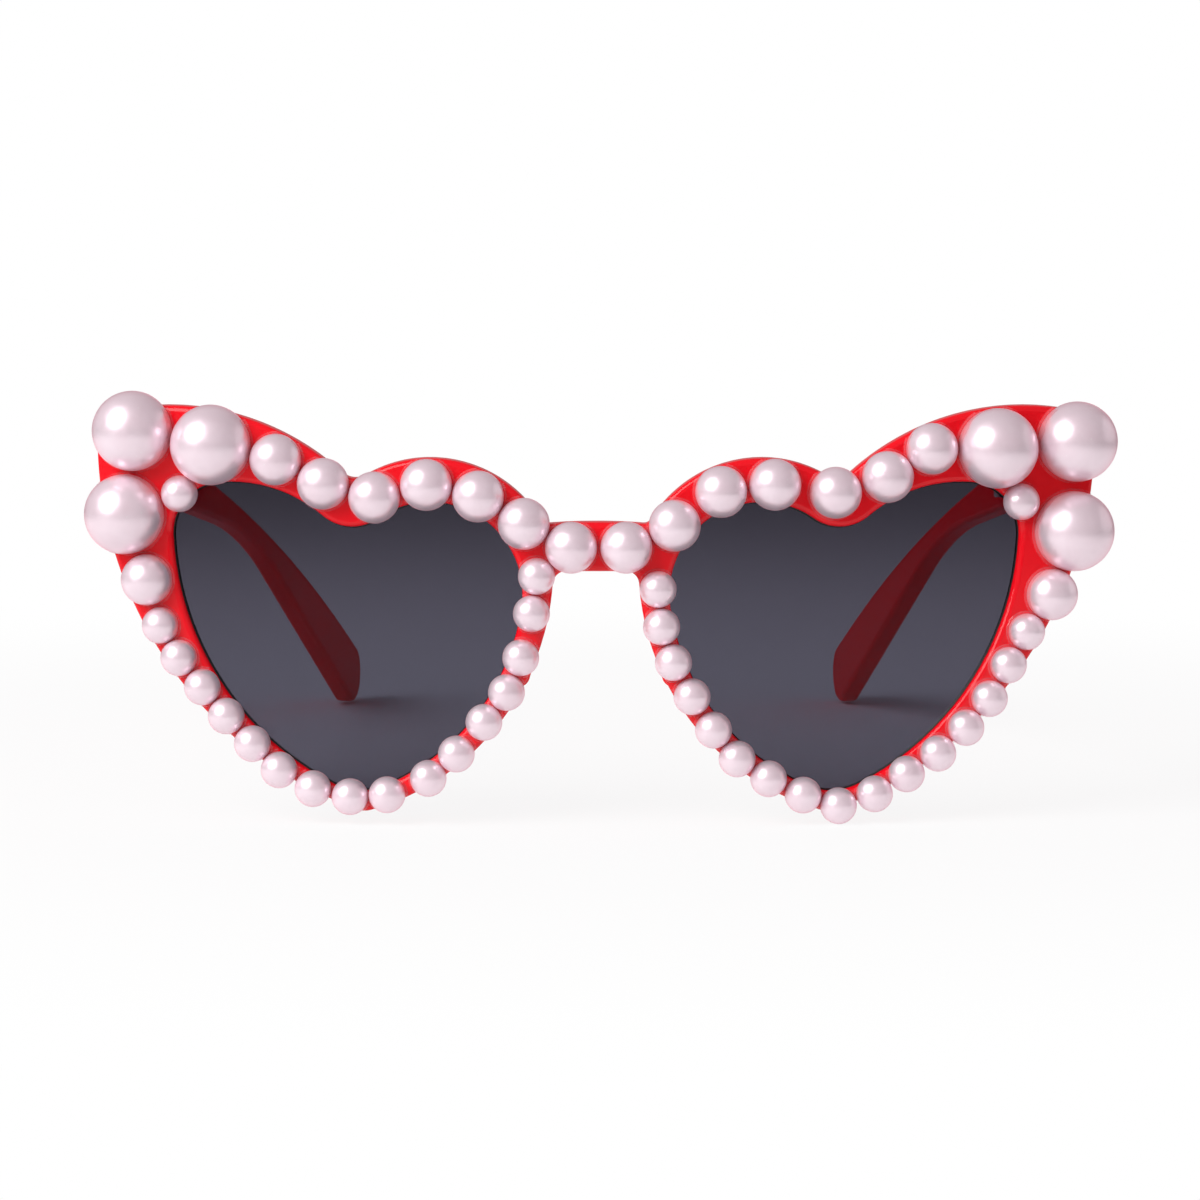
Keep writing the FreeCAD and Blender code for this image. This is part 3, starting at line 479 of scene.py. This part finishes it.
def new_piece(name: str, shape: Mesh, finish: bpy.types.Material, body: Body, slot: Slot) -> bpy.types.Object:
    """Make an object of a bmesh, let it ride on a body and give it its finish.

    Args:
        name: Name of the piece.
        shape: Shape of the piece, which is freed.
        finish: Material of the whole piece.
        body: Body that the piece moves with.
        slot: Material slot of the record that the finish stands for; not used.

    Returns:
        The new object.
    """
    data = bpy.data.meshes.new(name)
    shape.to_mesh(data)
    shape.free()
    data.materials.append(finish)
    data.shade_smooth()
    piece = bpy.data.objects.new(name, data)
    bpy.context.scene.collection.objects.link(piece)
    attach(piece, body.value)
    log.info("piece %s on %s", name, body.value)
    return piece


def islands(shape: Mesh) -> Iterator[list[bmesh.types.BMVert]]:
    """Yield the points of each connected part of a mesh."""
    left = set(shape.verts)
    while left:
        island = [left.pop()]
        for vert in island:
            for edge in vert.link_edges:
                other = edge.other_vert(vert)
                if other in left:
                    left.remove(other)
                    island.append(other)
        yield island


def gather(shapes: Iterable[Mesh]) -> Mesh:
    """Return one mesh of several, which are freed."""
    whole = bmesh.new()
    carrier = bpy.data.meshes.new("carrier")
    for shape in shapes:
        shape.to_mesh(carrier)
        shape.free()
        whole.from_mesh(carrier)
    bpy.data.meshes.remove(carrier)
    return whole


@dataclass
class Front:
    """Moulded front with its two lenses."""

    red: MouldedRed = MouldedRed(
        "moulded_red", colour=(0.93, 0.003, 0.013), shade=(0.86, 0.003, 0.011),
        roughness_low=0.04, roughness_high=0.10, coat=0.6)
    smoke: SmokeTint = SmokeTint(
        "smoke_tint", low=(0.117, 0.121, 0.163), high=(0.130, 0.126, 0.170), low_z=0.012, high_z=0.05)

    def dress(self) -> None:
        """Give the front and the lenses their finishes."""
        paint("front_frame", self.red.make())
        tint = self.smoke.make()
        for side in Side:
            paint(f"{side.value}_lens", tint)
        log.info("front and lenses dressed")


@dataclass
class LensEdgesAndShade:
    """Ground edges of both lenses as a dark film on the lens face, partly the edge itself and partly painted
    shade of the groove, which shows as a dark line inside the rim.
    """

    hidden_width: float = 0.00065
    shown_width: float = 0.00020
    lean: float = 0.00020
    lift: float = 0.00004
    thickness: float = 0.00002
    facing: float = 0.9
    # Near-black film colour: painted shade of the rim's groove, with grey marks of the grinding.
    dark: GroundEdgeAndShade = GroundEdgeAndShade("ground_edge_and_painted_shade", colour=(0.004, 0.0035, 0.004), pale=(0.010, 0.009, 0.010))

    def ring(self, side: Side) -> Mesh:
        """Return the edge of one lens, cut from the front of the lens and wider on its outer side."""
        shape = bmesh.new()
        shape.from_mesh(frame["nodes"][f"{side.value}_lens"].data)
        bmesh.ops.remove_doubles(shape, verts=shape.verts, dist=WELD_DISTANCE)
        away = [face for face in shape.faces if face.normal.y > -self.facing]
        bmesh.ops.delete(shape, geom=away, context="FACES")
        inner = list(shape.faces)
        bmesh.ops.inset_region(shape, faces=inner, thickness=self.hidden_width + self.shown_width,
                               use_boundary=True, use_even_offset=True)
        band = set(shape.faces) - set(inner)
        loop = {vert for face in inner for vert in face.verts if band & set(vert.link_faces)}
        bmesh.ops.delete(shape, geom=inner, context="FACES")
        nose = -1.0 if side is Side.LEFT else 1.0
        bmesh.ops.translate(shape, vec=(nose * self.lean, 0.0, 0.0), verts=list(loop))
        bmesh.ops.translate(shape, vec=(0.0, -self.lift, 0.0), verts=shape.verts)
        bmesh.ops.solidify(shape, geom=list(shape.faces), thickness=self.thickness)
        bmesh.ops.recalc_face_normals(shape, faces=shape.faces)
        return shape

    def build(self) -> None:
        """Add the edge of each lens, with its painted groove shade, as a piece of its own."""
        dark = self.dark.make()
        for side in Side:
            new_piece(f"{side.value}_lens_edge_and_shade", self.ring(side), dark, Body.FRONT, Slot.LENS)


@dataclass
class Temples:
    """Folding temples with their hinges."""

    red: MouldedRed = MouldedRed(
        "temple_red", colour=(0.94, 0.0035, 0.014), shade=(0.86, 0.003, 0.011),
        roughness_low=0.08, roughness_high=0.16, coat=0.2)
    leaf: DrawnSteel = DrawnSteel(
        "leaf_steel", colour=(0.70, 0.69, 0.68), dull=(0.52, 0.51, 0.51),
        roughness_low=0.24, roughness_high=0.38)
    screw: DrawnSteel = DrawnSteel(
        "screw_steel", colour=(0.78, 0.77, 0.76), dull=(0.62, 0.61, 0.61),
        roughness_low=0.16, roughness_high=0.30)

    def dress(self) -> None:
        """Give the temples, hinge leaves and screws their finishes."""
        plastic, leaves, screws = self.red.make(), self.leaf.make(), self.screw.make()
        for side in Side:
            paint(f"{side.value}_temple", plastic)
            paint(f"{side.value}_front_hinge_leaf", leaves)
            paint(f"{side.value}_temple_hinge_leaf", leaves)
            paint(f"{side.value}_hinge_screw", screws)
        log.info("temples and hinges dressed")


@dataclass(frozen=True)
class Seat:
    """Where one pearl sits on the front."""

    centre: Vector
    outward: Vector
    radius: float

    def hold(self, shape: Mesh) -> None:
        """Turn a shape made round the Z axis to face out of the front and set it on this seat."""
        turn = Vector((0.0, 0.0, 1.0)).rotation_difference(self.outward).to_matrix().to_4x4()
        bmesh.ops.transform(shape, matrix=Matrix.Translation(self.centre) @ turn, verts=shape.verts)


@dataclass
class PearlTrim:
    """Pearls along both rims and the glue that holds them."""

    wrap_radius: float = 0.260
    back_share: float = 0.199
    large_radius: float = 0.003
    large_steps: int = 5
    small_steps: int = 4
    ripple_height: float = 0.000026
    ripple_scale: float = 420.0
    ripple_shift: float = 900.0
    glue_width: float = 0.00036
    glue_height_share: float = 0.34
    glue_profile: tuple[tuple[float, float], ...] = ((0.005, 1.0), (0.22, 0.55), (0.55, 0.24), (1.0, 0.02))
    glue_steps: int = 56
    glue_reach: float = 0.0004
    lump_share: float = 0.55
    lump_scale: float = 520.0
    lump_shift: float = 900.0
    lacquer: PearlLacquer = PearlLacquer(
        "pearl_lacquer", colour=(0.96, 0.835, 0.90), blush=(0.92, 0.775, 0.84), speck=(0.98, 0.94, 0.96),
        sheen=(1.0, 0.45, 0.53), edge=(1.0, 0.62, 0.70))
    # The glue's pink colours are painted glow and reflection of the red front, set as its colour.
    glue: ClearGlue = ClearGlue("clear_glue", colour=(1.0, 0.30, 0.34), warm=(0.9, 0.27, 0.306), cover=0.25)

    def nodes(self, side: Side) -> Iterator[str]:
        """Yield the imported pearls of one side."""
        for name in frame["nodes"]:
            if "pearl" in name and name.startswith(side.value):
                yield name

    def seats(self, node: str) -> list[Seat]:
        """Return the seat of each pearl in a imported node, which holds one pearl or a run of them."""
        shape = bmesh.new()
        shape.from_mesh(frame["nodes"][node].data)
        bmesh.ops.remove_doubles(shape, verts=shape.verts, dist=WELD_DISTANCE)
        found = [self.seat([vert.co for vert in island]) for island in islands(shape)]
        shape.free()
        return found

    def seat(self, points: list[Vector]) -> Seat:
        """Return the seat of a pearl from the points of its surface."""
        low_z = min(point.z for point in points)
        high_z = max(point.z for point in points)
        radius = (high_z - low_z) / 2
        x = (min(point.x for point in points) + max(point.x for point in points)) / 2
        turn = math.asin(x / self.wrap_radius)
        outward = Vector((math.sin(turn), -math.cos(turn), 0.0))
        reach = max(point.dot(outward) for point in points) - radius
        flat = Vector((x, 0.0, (low_z + high_z) / 2))
        centre = flat + Vector((0.0, (reach - flat.dot(outward)) / outward.y, 0.0))
        return Seat(centre, outward, radius)

    def pearl(self, seat: Seat) -> Mesh:
        """Return one pearl with a flat back, its lacquer set a little unevenly."""
        shape = bmesh.new()
        steps = self.large_steps if seat.radius > self.large_radius else self.small_steps
        bmesh.ops.create_icosphere(shape, subdivisions=steps, radius=seat.radius)
        for vert in shape.verts:
            ripple = noise.noise(vert.co * self.ripple_scale + seat.centre * self.ripple_shift)
            vert.co += vert.co.normalized() * self.ripple_height * ripple
        cut = bmesh.ops.bisect_plane(
            shape, geom=shape.verts[:] + shape.edges[:] + shape.faces[:], dist=CUT_DISTANCE,
            plane_co=(0.0, 0.0, -seat.radius * self.back_share), plane_no=(0.0, 0.0, 1.0), clear_inner=True)
        rim = [item for item in cut["geom_cut"] if isinstance(item, bmesh.types.BMEdge)]
        bmesh.ops.edgeloop_fill(shape, edges=rim)
        for edge in rim:
            edge.smooth = False
        bmesh.ops.recalc_face_normals(shape, faces=shape.faces)
        seat.hold(shape)
        return shape

    def glue_ring(self, seat: Seat, ground: BVHTree) -> Mesh:
        """Return the glue around one pearl, where the front lies under it.

        Args:
            seat: Place of the pearl.
            ground: Surface of the front.

        Returns:
            A lumpy ring, open where it would hang over an edge of the front.
        """
        foot = -seat.radius * self.back_share
        height = seat.radius * self.glue_height_share
        shape = bmesh.new()
        outline = [
            shape.verts.new((seat.radius + self.glue_width * across, 0.0, foot + height * up))
            for across, up in self.glue_profile
        ]
        edges = [shape.edges.new(pair) for pair in zip(outline, outline[1:])]
        bmesh.ops.spin(shape, geom=outline + edges, cent=(0.0, 0.0, 0.0), axis=(0.0, 0.0, 1.0),
                       angle=math.tau, steps=self.glue_steps, use_merge=True)
        for vert in shape.verts:
            spot = Vector((vert.co.x, vert.co.y, 0.0))
            lump = noise.noise(spot * self.lump_scale + seat.centre * self.lump_shift)
            vert.co.z = foot + (vert.co.z - foot) * (1.0 + self.lump_share * lump)
        seat.hold(shape)
        loose = []
        for vert in shape.verts:
            gap = (vert.co - seat.centre).dot(seat.outward) - foot
            if ground.find_nearest(vert.co - seat.outward * gap, self.glue_reach)[0] is None:
                loose.append(vert)
        bmesh.ops.delete(shape, geom=loose, context="VERTS")
        return shape

    def build(self) -> None:
        """Add the pearls, node by node, and the glue of each side as one piece."""
        skin = bmesh.new()
        skin.from_mesh(frame["nodes"]["front_frame"].data)
        ground = BVHTree.FromBMesh(skin)
        skin.free()
        lacquer, glue = self.lacquer.make(), self.glue.make()
        for side in Side:
            held = []
            for node in self.nodes(side):
                seats = self.seats(node)
                held += seats
                shape = gather(self.pearl(seat) for seat in seats)
                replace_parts(new_piece(f"{node}_bead", shape, lacquer, Body.FRONT, Slot.PEARL), node)
            shape = gather(self.glue_ring(seat, ground) for seat in held)
            bmesh.ops.recalc_face_normals(shape, faces=shape.faces)
            new_piece(f"{side.value}_glue", shape, glue, Body.FRONT, Slot.PEARL)


@dataclass(frozen=True)
class Softbox:
    """One round studio light, aimed at the glasses."""

    name: str
    place: Point
    width: float
    height: float
    power: float
    aim: Point = (0.0, -0.05, 0.03)

    def build(self) -> None:
        """Add the light, facing its aim."""
        data = bpy.data.lights.new(self.name, "AREA")
        data.shape = "ELLIPSE"
        data.size, data.size_y = self.width, self.height
        data.energy = self.power
        lamp = bpy.data.objects.new(self.name, data)
        lamp.location = self.place
        lamp.rotation_euler = (Vector(self.aim) - Vector(self.place)).to_track_quat("-Z", "Y").to_euler()
        bpy.context.scene.collection.objects.link(lamp)


@dataclass
class Studio:
    """White paper sweep, soft lights and the camera."""

    eye: Point = (0.0006, -0.77276, 0.1074)
    pitch: float = math.radians(6.0)
    focal_share: float = 4751.0 / 1200.0
    sensor: float = 36.0
    clip_start: float = 0.01
    # The far colour of the paper is painted shade, where light falls off away from the glasses.
    paper: WhiteSweep = WhiteSweep(
        "white_paper", lit=(0.92, 0.92, 0.92), near=(0.88, 0.88, 0.88), far=(0.35, 0.35, 0.35), veil=0.88,
        whitening=Fade(0.11, 0.26), dimming=Fade(0.12, 0.60))
    paper_span: float = 6.0
    key: Softbox = Softbox("key", place=(-0.82, -0.70, 0.76), width=1.05, height=1.05, power=14.0)
    card: Softbox = Softbox("card", place=(1.0, 0.30, 0.28), width=1.1, height=0.9, power=1.1)
    ambient_front: float = 0.52
    ambient_back: float = 0.38
    ambient_front_y: float = -0.85
    ambient_back_y: float = 0.05
    ambient_tint: Colour = (1.0, 0.89, 0.92)

    def clear(self) -> None:
        """Remove what a new file starts with."""
        for item in list(bpy.data.objects):
            if item.name in ("Cube", "Light", "Camera"):
                bpy.data.objects.remove(item)

    def floor(self) -> None:
        """Lay the paper that the glasses stand on."""
        shape = bmesh.new()
        bmesh.ops.create_grid(shape, x_segments=1, y_segments=1, size=self.paper_span)
        data = bpy.data.meshes.new("paper")
        shape.to_mesh(data)
        shape.free()
        data.materials.append(self.paper.make())
        sheet = bpy.data.objects.new("paper", data)
        bpy.context.scene.collection.objects.link(sheet)

    def room(self) -> None:
        """Make the world: white to the camera, and soft pinkish light, dimmer from behind, to all else."""
        world = bpy.data.worlds.new("studio")
        bpy.context.scene.world = world
        world.use_nodes = True
        nodes, links = world.node_tree.nodes, world.node_tree.links
        nodes.clear()
        axes = nodes.new("ShaderNodeSeparateXYZ")
        links.new(nodes.new("ShaderNodeTexCoord").outputs["Generated"], axes.inputs["Vector"])
        depth = nodes.new("ShaderNodeMapRange")
        depth.inputs["From Min"].default_value = self.ambient_front_y
        depth.inputs["From Max"].default_value = self.ambient_back_y
        depth.inputs["To Min"].default_value = self.ambient_front
        depth.inputs["To Max"].default_value = self.ambient_back
        links.new(axes.outputs["Y"], depth.inputs["Value"])
        soft = nodes.new("ShaderNodeBackground")
        soft.inputs["Color"].default_value = opaque(self.ambient_tint)
        links.new(depth.outputs["Result"], soft.inputs["Strength"])
        white = nodes.new("ShaderNodeBackground")
        white.inputs["Color"].default_value = opaque(WHITE)
        white.inputs["Strength"].default_value = 1.0
        choice = nodes.new("ShaderNodeMixShader")
        links.new(nodes.new("ShaderNodeLightPath").outputs["Is Camera Ray"], choice.inputs["Fac"])
        links.new(soft.outputs[0], choice.inputs[1])
        links.new(white.outputs[0], choice.inputs[2])
        links.new(choice.outputs[0], nodes.new("ShaderNodeOutputWorld").inputs["Surface"])

    def camera(self) -> None:
        """Set up the camera as the photograph was taken."""
        data = bpy.data.cameras.new("camera")
        data.sensor_width = self.sensor
        data.lens = self.focal_share * self.sensor
        data.clip_start = self.clip_start
        item = bpy.data.objects.new("camera", data)
        item.location = self.eye
        item.rotation_euler = (math.pi / 2 - self.pitch, 0.0, 0.0)
        bpy.context.scene.collection.objects.link(item)
        bpy.context.scene.camera = item

    def build(self) -> None:
        """Set up the whole studio."""
        bpy.context.scene.view_settings.view_transform = "Standard"
        self.floor()
        self.key.build()
        self.card.build()
        self.room()
        self.camera()
        log.info("studio ready")


def main() -> None:
    """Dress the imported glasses, add what the solids leave out and set up the studio."""
    logging.basicConfig(level=logging.INFO)
    studio = Studio()
    studio.clear()
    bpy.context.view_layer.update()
    Front().dress()
    LensEdgesAndShade().build()
    Temples().dress()
    PearlTrim().build()
    studio.build()


if __name__ == "__main__":
    main()
